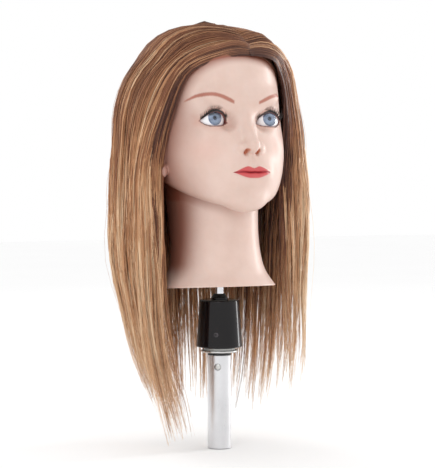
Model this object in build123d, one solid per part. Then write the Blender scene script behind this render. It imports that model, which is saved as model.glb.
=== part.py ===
"""Mannequin training head on the swivelling holder of a stand, with the top of the stand's pole.

Frame: +Z up, millimetres, the origin at the centre of the pole's lower end, the face looking along -Y.
"""

import os
from math import cos, pi, radians, sin

from build123d import *

# ---- driving dimensions: the pole ----
TUBE_R = 12.5
TUBE_WALL = 1.5
TUBE_H = 98.0
PLUG_FLANGE_R = 12.3
PLUG_FLANGE_H = 3.0
PLUG_DEPTH = 28.0
PLUG_SCREW_Z = 86.0
PLUG_SCREW_HEAD_R = 3.2
PLUG_SCREW_HOLE_R = 3.6
PLUG_SCREW_SHANK_R = 1.75
PLUG_SCREW_TIP = 6.6          # distance of a screw's tip from the pole's axis
SCREW_AZIMUTH = -38.0         # first pole screw and the cone's grub screw, from -Y towards -X

# ---- driving dimensions: the swivel ----
FLANGE_WASHER_R = 19.5
FLANGE_WASHER_H = 2.3
THRUST_WASHER_R = 16.6
THRUST_WASHER_H = 1.9
PIVOT_R = 4.0                 # M8 pivot bolt
PIVOT_HEAD_AF = 13.0
PIVOT_HEAD_H = 5.3
RUNNING = 0.06                # radial clearance of a shaft that turns in its bore
FACE_GAP = 0.05               # gap between flat faces that slide on each other

# ---- driving dimensions: the cone and the spigot ----
CONE_BOTTOM_R = 24.4
CONE_TOP_R = 20.8
CONE_H = 50.0
CONE_WALL = 3.0
CONE_ROOF = 4.0
CONE_RIM_LIFT = 1.2           # the rim stands this far above the foot of the hub
HUB_R = 10.5
GRUB_Z = 120.5
GRUB_R = 2.5
SPIGOT_R = 5.0
SPIGOT_FOOT_Z = 113.0
SPIGOT_GROOVE_R = 4.2
SPIGOT_GROOVE_H = 6.0
COLLAR_BASE_R = 9.2
COLLAR_TOP_R = 6.0
COLLAR_H = 6.0

# ---- driving dimensions: the head ----
BASE_Z = 169.5                # neck rim where it crosses the pole's axis
BASE_RISE = 3.2               # degrees that the neck rim rises towards the face
SKIN = 3.6                    # thickness of the moulded skin
NECK_TOP_Z = 244.0             # where the skin's neck ends and its head begins
SOCKET_R = 8.5
SOCKET_CLEARANCE = 0.2
SOCKET_DEPTH = 90.0
PLATE_H = 5.0
EYE_X = 32.3
EYE_Y = -34.0
EYE_Z = 343.0
EYE_R = 16.5
EYE_FLAT = 14.6               # the eyeball's flat front, ahead of its centre
EYE_PITCH = 8.0               # degrees that the gaze rises
IRIS_R = 7.5
IRIS_H = 0.5
CORNEA_H = 2.6                # height of the clear dome
EAR_X, EAR_Y, EAR_Z = 71.0, 6.0, 314.0

# (height, half width, front, back) of the head's level sections, above its jaw
HEAD_STATIONS = [
    (236.0, 26.0, -30.0, 60.0),
    (246.0, 36.0, -46.0, 64.0),
    (253.0, 44.0, -58.0, 68.0),
    (262.0, 53.0, -65.5, 74.0),
    (274.0, 61.0, -67.5, 80.0),
    (290.0, 66.0, -67.5, 88.0),
    (310.0, 69.5, -66.5, 98.0),
    (340.0, 71.0, -59.0, 109.0),
    (366.0, 70.0, -59.0, 113.0),
    (390.0, 67.0, -55.8, 110.0),
    (411.0, 57.5, -48.0, 99.0),
    (424.0, 46.0, -34.0, 84.0),
    (433.0, 31.0, -16.0, 66.0),
    (437.5, 17.0, 3.0, 49.0),
]
# the same for the neck, which goes on up inside the head
NECK_STATIONS = [
    (160.0, 62.5, -57.5, 58.0),
    (170.0, 59.5, -54.0, 56.0),
    (182.0, 52.5, -46.0, 55.0),
    (200.0, 46.5, -40.0, 57.0),
    (222.0, 44.3, -37.5, 62.0),
    (245.0, 44.5, -36.5, 66.0),
    (270.0, 47.0, -33.0, 70.0),
    (296.0, 50.0, -28.0, 77.0),
]
JAW_Y, JAW_Z = -66.0, 249.0   # the underside of the jaw passes here
JAW_RISE = 19.8               # degrees that the underside rises towards the back
NOSE_STATIONS = [
    (308.0, 9.0, -72.0, -50.0),
    (313.0, 10.5, -79.5, -50.0),
    (319.0, 9.5, -82.0, -48.0),
    (327.0, 8.0, -76.5, -46.0),
    (338.0, 7.0, -67.5, -44.0),
    (352.0, 7.5, -59.8, -42.0),
]
SECTION_EXPONENT = 2.25       # 2 is an ellipse, more is squarer
SECTION_POINTS = 20

# (height, half width, front, back) of the outside of the hair on the crown
CROWN_STATIONS = [
    (330.0, 98.5, -84.0, 123.0),
    (352.0, 95.0, -84.0, 121.5),
    (374.0, 89.0, -82.0, 119.0),
    (396.0, 78.5, -75.0, 114.5),
    (415.0, 64.5, -62.0, 104.0),
    (430.0, 46.5, -43.0, 89.0),
    (440.5, 27.0, -18.0, 67.0),
    (445.5, 13.0, 3.0, 47.0),
]
CROWN_FOOT_Z = 330.0
HAIRLINE_Y, HAIRLINE_Z = -50.0, 411.0     # middle of the hairline
HAIRLINE_LEAN = 26.0                      # degrees that the hairline leans back on its way down
HAIR_GAP = 0.5                            # between the scalp and the crown hair, and between locks

# (height, half width, front, back) of the outside and the inside of the hanging hair
CURTAIN_OUTER = [
    (329.5, 98.5, -84.0, 123.0),
    (290.0, 100.5, -84.0, 124.0),
    (240.0, 102.0, -83.0, 124.5),
    (195.0, 101.5, -81.0, 121.0),
    (140.0, 96.5, -77.0, 114.0),
    (105.0, 91.0, -74.0, 109.0),
    (75.0, 84.0, -69.0, 104.0),
    (38.0, 68.0, -58.0, 97.0),
    (4.0, 46.0, -42.0, 90.0),
]
CURTAIN_INNER = [
    (330.5, 79.0, -62.0, 108.5),
    (290.0, 78.0, -60.0, 103.0),
    (240.0, 69.0, -55.0, 94.0),
    (180.0, 66.0, -53.0, 90.0),
    (120.0, 64.0, -50.0, 88.0),
    (75.0, 60.0, -46.0, 84.0),
    (38.0, 50.0, -38.0, 80.0),
    (3.0, 30.0, -26.0, 75.0),
]
CURTAIN_CENTRE_Y = 20.0       # the locks are sectors about this point of the middle plane
LOCK_EDGES = {"front": (-17.0, 10.5), "side": (10.5, 37.5), "rear": (37.5, 64.0), "back": (64.0, 90.0)}
LOCK_TIPS = {  # height of the tips on the left and on the right side of the head
    "front": (50.0, 4.0),
    "side": (36.0, 16.0),
    "rear": (62.0, 45.0),
    "back": (82.0, 74.0),
}
LOCK_TAPER_Z = 150.0          # below this height a lock narrows to its tips
LOCK_TIP_SHARE = 0.55         # width of the tips as a share of the lock's width


def superellipse(height, half_width, front, back, grow=0.0):
    """A level section of the head or the hair, as a closed spline face."""
    a, b = half_width + grow, (back - front) / 2 + grow
    middle = (front + back) / 2
    points = []
    for i in range(SECTION_POINTS):
        t = 2 * pi * i / SECTION_POINTS
        share = (abs(cos(t)) ** SECTION_EXPONENT + abs(sin(t)) ** SECTION_EXPONENT) ** (-1 / SECTION_EXPONENT)
        points.append((a * cos(t) * share, middle + b * sin(t) * share, height))
    return Face(Wire([Edge.make_spline([Vector(*p) for p in points], periodic=True)]))


def lofted(stations, grow=0.0):
    """A solid through level sections, grown or shrunk by grow on every side."""
    last = len(stations) - 1
    faces = []
    for i, (z, a, front, back) in enumerate(stations):
        if a + grow < 6:
            continue
        faces.append(superellipse(z + (grow if i == last or grow < 0 and z > 380 else 0), a, front, back, grow))
    return Solid.make_loft([f.outer_wire() for f in faces])


def ring(outer_r, inner_r, low, high):
    """A washer or tube on the pole's axis."""
    solid = Cylinder(outer_r, high - low, align=(Align.CENTER, Align.CENTER, Align.MIN))
    if inner_r:
        solid -= Cylinder(inner_r, high - low, align=(Align.CENTER, Align.CENTER, Align.MIN))
    return Pos(0, 0, low) * solid


def frustum(bottom_r, top_r, low, high):
    return Pos(0, 0, low) * Cone(bottom_r, top_r, high - low, align=(Align.CENTER, Align.CENTER, Align.MIN))


def radial(angle, height, reach=0.0):
    """A place on the pole at an azimuth from -Y towards +X, with its local +Z pointing outwards."""
    t = radians(angle)
    outward = Vector(sin(t), -cos(t), 0)
    return Plane(origin=Vector(0, 0, height) + outward * reach, x_dir=(0, 0, 1), z_dir=outward)


# ---------------------------------------------------------------- the pole

WASHER_Z = TUBE_H + PLUG_FLANGE_H
THRUST_Z = WASHER_Z + FLANGE_WASHER_H + FACE_GAP
HUB_FOOT_Z = THRUST_Z + THRUST_WASHER_H
CONE_Z = HUB_FOOT_Z + CONE_RIM_LIFT
CONE_TOP_Z = CONE_Z + CONE_H
PLUG_FOOT_Z = TUBE_H - PLUG_DEPTH
TUBE_BORE_R = TUBE_R - TUBE_WALL
SCREW_ANGLES = [SCREW_AZIMUTH + 90 * i for i in range(4)]
SCREW_SEAT = TUBE_BORE_R - 0.6


def pole_tube():
    tube = ring(TUBE_R, TUBE_BORE_R, 0, TUBE_H)
    for angle in SCREW_ANGLES:
        tube -= radial(angle, PLUG_SCREW_Z, 8) * Cylinder(PLUG_SCREW_HOLE_R, 6, align=(Align.CENTER, Align.CENTER, Align.MIN))
    edges = tube.edges().filter_by(GeomType.CIRCLE).group_by(Axis.Z)
    return chamfer([e for e in edges[0] + edges[-1] if abs(e.radius - TUBE_R) < 0.01], 0.4)


def pole_plug():
    plug = ring(TUBE_BORE_R - 0.02, 0, PLUG_FOOT_Z, TUBE_H) + ring(PLUG_FLANGE_R, 0, TUBE_H, WASHER_Z)
    plug -= ring(PIVOT_R + RUNNING, 0, PLUG_FOOT_Z - 1, WASHER_Z + 1)
    for angle in SCREW_ANGLES:
        plug -= radial(angle, PLUG_SCREW_Z, SCREW_SEAT) * Cylinder(
            PLUG_SCREW_HOLE_R, 4, align=(Align.CENTER, Align.CENTER, Align.MIN)
        )
        plug -= radial(angle, PLUG_SCREW_Z, PLUG_SCREW_TIP) * Cylinder(
            PLUG_SCREW_SHANK_R, 6, align=(Align.CENTER, Align.CENTER, Align.MIN)
        )
    return plug


def plug_screws():
    """Four dome-headed screws with a cross recess, sunk in the tube's holes."""
    head_h, dome = 1.0, 0.6
    screws = []
    for angle in SCREW_ANGLES:
        at = radial(angle, PLUG_SCREW_Z, SCREW_SEAT)
        shank = radial(angle, PLUG_SCREW_Z, PLUG_SCREW_TIP) * Cylinder(
            PLUG_SCREW_SHANK_R, SCREW_SEAT - PLUG_SCREW_TIP, align=(Align.CENTER, Align.CENTER, Align.MIN)
        )
        head = at * (
            Cylinder(PLUG_SCREW_HEAD_R, head_h, align=(Align.CENTER, Align.CENTER, Align.MIN))
            + Pos(0, 0, head_h) * Cone(PLUG_SCREW_HEAD_R, 1.8, dome, align=(Align.CENTER, Align.CENTER, Align.MIN))
        )
        cross = Box(3.2, 0.7, 1.6) + Box(0.7, 3.2, 1.6)
        screws.append(shank + head - at * Pos(0, 0, head_h + dome) * Rot(0, 0, 35) * cross)
    return screws


def flange_washer():
    """Pressed steel washer with a raised, rounded rim."""
    washer = ring(FLANGE_WASHER_R, PIVOT_R + 0.4, WASHER_Z, WASHER_Z + FLANGE_WASHER_H)
    washer -= ring(FLANGE_WASHER_R - 1.8, THRUST_WASHER_R + 0.4, WASHER_Z + 1.5, WASHER_Z + FLANGE_WASHER_H + 1)
    rim = washer.edges().filter_by(GeomType.CIRCLE).filter_by(lambda e: abs(e.radius - FLANGE_WASHER_R) < 0.01)
    return fillet(rim, 0.9)


# ---------------------------------------------------------------- the swivelling holder


def thrust_washer():
    return ring(THRUST_WASHER_R, PIVOT_R + 0.02, THRUST_Z, HUB_FOOT_Z)


def pivot_bolt():
    """Hexagon bolt, its head caught in the foot of the hub and its nut below the plug."""
    head = Pos(0, 0, HUB_FOOT_Z) * extrude(RegularPolygon(PIVOT_HEAD_AF / 2, 6, major_radius=False), PIVOT_HEAD_H)
    return head + ring(PIVOT_R, 0, PLUG_FOOT_Z - 12.5, HUB_FOOT_Z)


def pivot_washer():
    return ring(8.0, PIVOT_R + 0.02, PLUG_FOOT_Z - FACE_GAP - 1.6, PLUG_FOOT_Z - FACE_GAP)


def pivot_nut():
    """Self-locking nut: a hexagon with a round collar."""
    top = PLUG_FOOT_Z - FACE_GAP - 1.6
    hexagon = Pos(0, 0, top - 6.5) * extrude(RegularPolygon(PIVOT_HEAD_AF / 2, 6, major_radius=False), 6.5)
    return hexagon + ring(5.8, 0, top - 8.5, top - 6.5) - ring(PIVOT_R, 0, top - 10, top + 1)


def holder_cone():
    """Moulded cone with a roof, a hub and four ribs between hub and wall."""
    slope = (CONE_BOTTOM_R - CONE_TOP_R) / CONE_H
    outer = frustum(CONE_BOTTOM_R, CONE_TOP_R, CONE_Z, CONE_TOP_Z)
    rims = outer.edges().filter_by(GeomType.CIRCLE).sort_by(Axis.Z)
    outer = fillet(rims[-1], 2.2)
    outer = fillet(outer.edges().filter_by(GeomType.CIRCLE).sort_by(Axis.Z)[0], 1.2)
    ceiling = CONE_TOP_Z - CONE_ROOF
    hollow = frustum(
        CONE_BOTTOM_R - CONE_WALL, CONE_TOP_R - CONE_WALL + slope * CONE_ROOF, CONE_Z - 0.01, ceiling
    )
    hub = ring(HUB_R, 0, HUB_FOOT_Z, ceiling + 1)
    ribs = Part()
    for angle in SCREW_ANGLES:
        ribs += Pos(0, 0, CONE_Z + 6) * Rot(0, 0, angle - 90) * Box(
            CONE_BOTTOM_R, 3, ceiling - CONE_Z - 5.9, align=(Align.MIN, Align.CENTER, Align.MIN)
        )
    cone = (outer - hollow) + hub + (ribs & outer)
    cone -= ring(SPIGOT_R + RUNNING, 0, SPIGOT_FOOT_Z - 0.3, CONE_TOP_Z + 1)
    cone -= Pos(0, 0, HUB_FOOT_Z - 1) * extrude(
        RegularPolygon(PIVOT_HEAD_AF / 2 + 0.02, 6, major_radius=False), PIVOT_HEAD_H + 1
    )
    cone -= radial(SCREW_AZIMUTH, GRUB_Z) * Cylinder(GRUB_R, 40, align=(Align.CENTER, Align.CENTER, Align.MIN))
    return cone


def cone_grub_screw():
    """Set screw with a hexagon socket, whose tip rides in the spigot's groove."""
    tip, back = SPIGOT_GROOVE_R + 0.1, 20.3
    screw = radial(SCREW_AZIMUTH, GRUB_Z, tip) * (
        Cylinder(1.6, 2.0, align=(Align.CENTER, Align.CENTER, Align.MIN))
        + Pos(0, 0, 1.9) * Cylinder(GRUB_R - 0.01, back - tip - 1.9, align=(Align.CENTER, Align.CENTER, Align.MIN))
    )
    socket = extrude(RegularPolygon(1.25, 6, major_radius=False), 4)
    return screw - radial(SCREW_AZIMUTH, GRUB_Z, back - 3) * socket


# ---------------------------------------------------------------- the spigot

SOCKET_FOOT_Z = BASE_Z + 1.5
SPIGOT_TOP_Z = SOCKET_FOOT_Z + SOCKET_DEPTH - 5.0


def spigot_rod():
    rod = ring(SPIGOT_R, 0, SPIGOT_FOOT_Z, SPIGOT_TOP_Z)
    rod = chamfer(rod.edges().filter_by(GeomType.CIRCLE).sort_by(Axis.Z)[-1], 1.2)
    groove = ring(SPIGOT_R + 1, SPIGOT_GROOVE_R, GRUB_Z - SPIGOT_GROOVE_H / 2, GRUB_Z + SPIGOT_GROOVE_H / 2)
    return rod - groove


def spigot_collar():
    foot = CONE_TOP_Z + FACE_GAP
    collar = frustum(COLLAR_BASE_R, COLLAR_TOP_R, foot + 1.2, foot + COLLAR_H) + ring(COLLAR_BASE_R, 0, foot, foot + 1.2)
    return collar - ring(SPIGOT_R, 0, foot - 1, foot + COLLAR_H + 1)


# ---------------------------------------------------------------- the head


def below_rim(lift=0.0, depth=60.0):
    """Everything below the sloping plane of the neck's rim."""
    block = Box(200, 200, depth, align=(Align.CENTER, Align.CENTER, Align.MAX))
    return Pos(0, 0, BASE_Z + lift) * Rot(-BASE_RISE, 0, 0) * block


def gaze_plane(side, ahead):
    """A plane across one eye's line of sight, ahead of the centre of the eye."""
    pitch = radians(EYE_PITCH)
    sight = Vector(0, -cos(pitch), sin(pitch))
    return Plane(origin=Vector(side * EYE_X, EYE_Y, EYE_Z) + sight * ahead, x_dir=(1, 0, 0), z_dir=sight)


def ear(side, grow=0.0):
    lobe = Rot(0, 0, -side * 14) * Rot(8, 0, 0) * scale(Sphere(1), (6.5 + grow, 15.0 + grow, 29.0 + grow))
    return Pos(side * EAR_X, EAR_Y, EAR_Z) * lobe


def face_relief():
    """Nose, lips and chin, to be fused to the plain head."""
    nose = lofted(NOSE_STATIONS)
    wing = Pos(11.0, -66.5, 314.0) * scale(Sphere(1), (6.5, 8.5, 6.5))
    wings = [wing, mirror(wing, about=Plane.YZ)]
    lips = Pos(0, -66.0, 290.0) * scale(Sphere(1), (23.0, 10.0, 8.0))
    chin = Pos(0, -59.0, 262.0) * scale(Sphere(1), (22.0, 13.0, 14.0))
    return [nose, *wings, lips, chin]


def head_outer(grow=0.0):
    """The plain head and neck, grown or shrunk by grow."""
    jaw_side = Box(300, 300, 100, align=(Align.CENTER, Align.CENTER, Align.MAX))
    below_jaw = Pos(0, JAW_Y, JAW_Z - grow) * Rot(JAW_RISE, 0, 0) * jaw_side
    return Part() + lofted(HEAD_STATIONS, grow) - below_jaw + lofted(NECK_STATIONS, grow)


def moulded_skin(inner):
    """The moulded skin as its head, above the jaw, and its neck, below it."""
    outer = head_outer()
    for piece in [*face_relief(), ear(-1), ear(1)]:
        outer += piece
    skin = outer - inner - below_rim()
    for side in (-1, 1):
        almond = scale(Cylinder(1, 40, align=(Align.CENTER, Align.CENTER, Align.MIN)), (14.5, 7.2, 1))
        skin -= gaze_plane(side, 0) * almond
        skin -= gaze_plane(side, 0) * Sphere(EYE_R + 0.05)
        skin -= gaze_plane(side, 0) * Cylinder(IRIS_R + 0.1, 40, align=(Align.CENTER, Align.CENTER, Align.MIN))
    upper = Pos(0, 0, NECK_TOP_Z) * Box(300, 400, 300, align=(Align.CENTER, Align.CENTER, Align.MIN))
    return skin & upper, skin - upper


def neck_plate():
    """Round-edged plastic plate that closes the neck, just inside its rim."""
    plate = head_outer(-SKIN - 0.15) - below_rim(lift=3.0) - below_rim_inverse(lift=3.0 + PLATE_H)
    return plate - ring(SOCKET_R + 0.02, 0, BASE_Z - 20, BASE_Z + 40)


def below_rim_inverse(lift):
    """Everything above the sloping plane at lift above the neck's rim."""
    block = Box(300, 400, 400, align=(Align.CENTER, Align.CENTER, Align.MIN))
    return Pos(0, 0, BASE_Z + lift) * Rot(-BASE_RISE, 0, 0) * block


def neck_socket():
    """Blind plastic tube, held by the neck plate, that drops over the spigot."""
    top = SOCKET_FOOT_Z + SOCKET_DEPTH
    tube = ring(SOCKET_R, 0, SOCKET_FOOT_Z - 1.5, top)
    return tube - ring(SPIGOT_R + SOCKET_CLEARANCE, 0, SOCKET_FOOT_Z - 5, SPIGOT_TOP_Z + 0.1)


def foam_core(inner):
    """Rigid foam that fills the skin above the neck plate."""
    core = inner - below_rim(lift=3.1 + PLATE_H)
    core -= ring(SOCKET_R + 0.05, 0, BASE_Z - 20, SOCKET_FOOT_Z + SOCKET_DEPTH + 0.1)
    for side in (-1, 1):
        core -= gaze_plane(side, 0) * Sphere(EYE_R + 0.2)
        core -= gaze_plane(side, 6) * Cylinder(22, 30, align=(Align.CENTER, Align.CENTER, Align.MIN))
    return core


def eyeball(side):
    ball = gaze_plane(side, 0) * Sphere(EYE_R)
    front = gaze_plane(side, EYE_FLAT) * Box(40, 40, 10, align=(Align.CENTER, Align.CENTER, Align.MIN))
    return ball - front


def iris(side):
    return gaze_plane(side, EYE_FLAT) * Cylinder(IRIS_R, IRIS_H, align=(Align.CENTER, Align.CENTER, Align.MIN))


def cornea(side):
    """Clear dome over the iris."""
    foot = EYE_FLAT + IRIS_H
    dome_r = (IRIS_R**2 + CORNEA_H**2) / (2 * CORNEA_H)
    dome = gaze_plane(side, foot + CORNEA_H - dome_r) * Sphere(dome_r)
    return dome - gaze_plane(side, foot) * Box(40, 40, 40, align=(Align.CENTER, Align.CENTER, Align.MAX))


def lashes(side, outer):
    """Curved strip of upper lashes, standing on the lid."""
    visor = Cylinder(25.5, 0.6) - Cylinder(15.0, 2.0)
    visor &= Rot(0, 0, -90) * wedge(27.0, 45.0)
    return Pos(side * EYE_X, EYE_Y, EYE_Z + 9.5) * Rot(-10, 0, 0) * visor - outer


def wedge(reach, half_angle):
    """A flat sector about +X."""
    t = radians(half_angle)
    corners = [(0, 0), (2 * reach * cos(t), -2 * reach * sin(t)), (2 * reach * cos(t), 2 * reach * sin(t))]
    return Pos(0, 0, -2) * extrude(make_face(Polyline(*corners, close=True)), 4)


# ---------------------------------------------------------------- the hair


def crown_hair(scalp):
    """The left and right halves of the hair on the crown, parted in the middle."""
    face_side = Pos(0, HAIRLINE_Y, HAIRLINE_Z) * Rot(HAIRLINE_LEAN, 0, 0) * Box(
        400, 400, 600, align=(Align.CENTER, Align.MAX, Align.CENTER)
    )
    cap = Part() + lofted(CROWN_STATIONS) - scalp - face_side
    for side in (-1, 1):
        cap -= ear(side, HAIR_GAP)
    half = Box(200, 400, 200, align=(Align.MIN, Align.CENTER, Align.MIN))
    apart = HAIR_GAP / 2
    return cap & (Pos(apart, 0, CROWN_FOOT_Z) * half), cap & (Pos(-200 - apart, 0, CROWN_FOOT_Z) * half)


def sector(side, low_edge, high_edge, height):
    """A level triangle about the middle of the hanging hair, its edges in degrees from the side to the back."""
    reach = 260.0
    corners = [(0, CURTAIN_CENTRE_Y, height)]
    for edge in (low_edge, high_edge):
        t = radians(edge)
        corners.append((side * reach * cos(t), CURTAIN_CENTRE_Y + reach * sin(t), height))
    return Polyline(*corners, close=True).wire()


def hair_lock(curtain, name, side):
    """One hanging lock: a sector of the hanging hair that narrows to its tips."""
    low, high = LOCK_EDGES[name]
    low, high = low + 0.15, high - 0.15
    tip = LOCK_TIPS[name][0 if side > 0 else 1]
    middle, half = (low + high) / 2, (high - low) / 2 * LOCK_TIP_SHARE
    wires = [
        sector(side, low, high, CROWN_FOOT_Z - HAIR_GAP),
        sector(side, low, high, LOCK_TAPER_Z),
        sector(side, middle - half, middle + half, tip),
    ]
    return curtain & (Part() + Solid.make_loft(wires, ruled=True))


# ---------------------------------------------------------------- the parts


def all_parts():
    outer = head_outer()
    inner = head_outer(-SKIN)
    head_skin, neck_skin = moulded_skin(inner)
    left_crown, right_crown = crown_hair(head_outer(HAIR_GAP))
    curtain = Part() + lofted(CURTAIN_OUTER) - lofted(CURTAIN_INNER)
    parts = {
        "pole_tube": pole_tube(),
        "pole_plug": pole_plug(),
        "plug_screws": Compound(children=[s.solid() for s in plug_screws()]),
        "flange_washer": flange_washer(),
        "thrust_washer": thrust_washer(),
        "pivot_bolt": pivot_bolt(),
        "pivot_washer": pivot_washer(),
        "pivot_nut": pivot_nut(),
        "holder_cone": holder_cone(),
        "cone_grub_screw": cone_grub_screw(),
        "spigot_rod": spigot_rod(),
        "spigot_collar": spigot_collar(),
        "neck_plate": neck_plate(),
        "neck_socket": neck_socket(),
        "foam_core": foam_core(inner),
        "head_skin": head_skin,
        "neck_skin": neck_skin,
        "left_crown_hair": left_crown,
        "right_crown_hair": right_crown,
    }
    for label, side in (("left", 1), ("right", -1)):
        parts[f"{label}_eyeball"] = eyeball(side)
        parts[f"{label}_iris"] = iris(side)
        parts[f"{label}_cornea"] = cornea(side)
        parts[f"{label}_lashes"] = lashes(side, outer)
        for name in LOCK_EDGES:
            parts[f"{label}_{name}_lock"] = hair_lock(curtain, name, side)
    return parts


def main():
    os.makedirs("parts", exist_ok=True)
    for name, shape in all_parts().items():
        export_step(shape, f"parts/{name}.step")


main()
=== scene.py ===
"""Looks of the mannequin training head: its painted vinyl face, glass eyes and long hair, and the metal and
plastic of its swivelling holder.

Lengths in the shape code are millimetres, turned into metres where a mesh is made. +Z is up, the face looks
along -Y, and the head's own left is +X. What is made for one side takes side, 1 for the left and -1 for the
right. Places on the face are given by their distance from its middle plane, so one list serves both sides.
"""

import math

import bpy
import numpy as np
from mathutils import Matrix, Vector


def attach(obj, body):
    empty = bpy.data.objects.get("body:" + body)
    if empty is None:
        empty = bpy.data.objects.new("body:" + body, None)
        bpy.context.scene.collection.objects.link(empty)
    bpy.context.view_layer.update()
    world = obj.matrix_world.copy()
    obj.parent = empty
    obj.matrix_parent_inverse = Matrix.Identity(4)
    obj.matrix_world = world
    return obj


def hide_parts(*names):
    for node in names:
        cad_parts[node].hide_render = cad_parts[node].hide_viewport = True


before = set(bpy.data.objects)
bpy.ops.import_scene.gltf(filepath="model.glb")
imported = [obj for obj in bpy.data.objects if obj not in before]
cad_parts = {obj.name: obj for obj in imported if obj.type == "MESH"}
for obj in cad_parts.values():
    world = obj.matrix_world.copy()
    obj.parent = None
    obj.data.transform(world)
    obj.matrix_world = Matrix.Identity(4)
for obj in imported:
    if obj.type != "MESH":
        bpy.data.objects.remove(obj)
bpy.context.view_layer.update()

MM = 0.001
SEED = 41

# ---------------------------------------------------------------- sizes shared with the design, in mm

# (height, half width, front, back) of level sections
SKULL = np.array([
    (236.0, 22.0, -30.0, 60.0), (246.0, 31.0, -44.0, 64.0), (253.0, 40.0, -57.0, 68.0),
    (262.0, 50.5, -65.0, 74.0), (274.0, 59.0, -67.5, 80.0), (290.0, 65.3, -67.5, 88.0),
    (310.0, 69.2, -66.5, 98.0), (325.0, 70.5, -63.0, 104.0), (340.0, 70.5, -58.8, 109.0),
    (353.0, 69.6, -57.6, 111.5), (366.0, 68.4, -58.0, 113.0), (390.0, 65.6, -55.2, 110.0),
    (411.0, 57.0, -48.0, 99.0), (424.0, 46.0, -34.0, 84.0), (433.0, 31.0, -16.0, 66.0),
    (437.5, 17.0, 3.0, 49.0), (440.0, 4.0, 20.0, 32.0),
])
NECK = np.array([
    (160.0, 62.5, -57.5, 58.0), (170.0, 59.5, -54.0, 56.0), (182.0, 52.5, -46.0, 55.0),
    (200.0, 46.5, -40.0, 57.0), (222.0, 44.3, -37.5, 62.0), (245.0, 44.5, -36.5, 66.0),
    (270.0, 47.0, -33.0, 70.0), (300.0, 50.0, -28.0, 78.0),
])
# the hanging hair on the head's left, outside and inside
CURTAIN_OUTER = np.array([
    (4.0, 76.0, -56.0, 100.0), (38.0, 86.0, -64.0, 104.0), (75.0, 92.0, -71.0, 108.0),
    (105.0, 95.0, -75.0, 111.0), (140.0, 96.5, -77.0, 114.0), (195.0, 101.5, -81.0, 121.0),
    (240.0, 102.0, -83.0, 124.5), (290.0, 100.5, -84.0, 124.0), (329.5, 98.5, -84.0, 123.0),
])
CURTAIN_INNER = np.array([
    (3.0, 30.0, -26.0, 75.0), (38.0, 50.0, -38.0, 80.0), (75.0, 60.0, -46.0, 84.0),
    (120.0, 64.0, -50.0, 88.0), (180.0, 66.0, -53.0, 90.0), (240.0, 69.0, -55.0, 94.0),
    (290.0, 78.0, -60.0, 103.0), (330.5, 79.0, -62.0, 108.5),
])
# and on the head's right, where it draws in to a point
GATHERED_OUTER = np.array([
    (4.0, 40.0, -38.0, 78.0), (38.0, 52.0, -54.0, 92.0), (75.0, 70.0, -67.0, 102.0),
    (105.0, 82.0, -73.0, 108.0), (140.0, 90.0, -77.0, 114.0), (195.0, 101.5, -81.0, 121.0),
    (240.0, 102.0, -83.0, 124.5), (290.0, 100.5, -84.0, 124.0), (329.5, 98.5, -84.0, 123.0),
])
GATHERED_INNER = np.array([
    (3.0, 32.0, -30.0, 64.0), (38.0, 40.0, -42.0, 76.0), (75.0, 54.0, -48.0, 82.0),
    (120.0, 62.0, -51.0, 88.0), (180.0, 66.0, -53.0, 90.0), (240.0, 69.0, -55.0, 94.0),
    (290.0, 78.0, -60.0, 103.0), (330.5, 79.0, -62.0, 108.5),
])
EXPONENT = 2.25  # of the superellipses that the sections are
CROWN_Z = 438.5  # where the skull is flattened at its top
JAW_Y, JAW_Z, JAW_RISE = -66.0, 249.0, 0.36  # a point of the jaw's underside, and how it rises to the back
NECK_TOP_Z = 292.0
NECK_RIM_Z, NECK_RIM_RISE = 169.5, math.radians(3.2)
SKIN = 3.6
EYE = np.array((32.3, -34.0, 343.0))
EYE_R = 16.5
EYE_PITCH = math.radians(8.0)
IRIS_R = 7.5
LID_HALF = 15.0
LIP_HALF = 22.3

# Curves on the face, as (distance from the middle plane, height)
LIP_TOP = np.array([
    (0, 293.9), (3, 294.9), (6, 295.8), (10, 295.1), (15, 293.0), (19, 290.9), (LIP_HALF, 289.4),
])
LIP_PARTING = np.array([(0, 289.9), (5, 289.5), (11, 290.1), (17, 289.9), (LIP_HALF, 289.4)])
LIP_BOTTOM = np.array([(0, 283.8), (6, 284.0), (11, 285.2), (16, 287.0), (20, 288.6), (LIP_HALF, 289.4)])
BROW = np.array([
    (14.5, 361.0), (20, 363.4), (27, 366.4), (35, 368.8), (43, 368.7), (50, 366.2), (56.5, 361.6),
])
BROW_HALF = np.array([(14.5, 1.9), (18, 2.3), (28, 2.4), (40, 2.3), (50, 1.9), (56.5, 0.9)])
# Curves of the eye's opening, as (distance outwards from the eye's middle, height)
LID_TOP = np.array([
    (-LID_HALF, 340.2), (-12.5, 344.4), (-8.5, 348.3), (-3.5, 350.6), (1, 350.9), (5.5, 349.6),
    (10, 346.4), (13, 343.6), (LID_HALF, 342.0),
])
LID_BOTTOM = np.array([
    (-LID_HALF, 340.2), (-11, 338.6), (-6, 337.5), (0, 337.1), (6, 337.4), (11, 339.1),
    (LID_HALF, 342.0),
])
# Where the hair meets the skin, as (height, y)
HAIRLINE = np.array([
    (285, 6), (317, -3), (342, -8), (367, -18), (388, -27), (402, -40), (408, -48), (425, -72),
])


# ---------------------------------------------------------------- small mathematics


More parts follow.
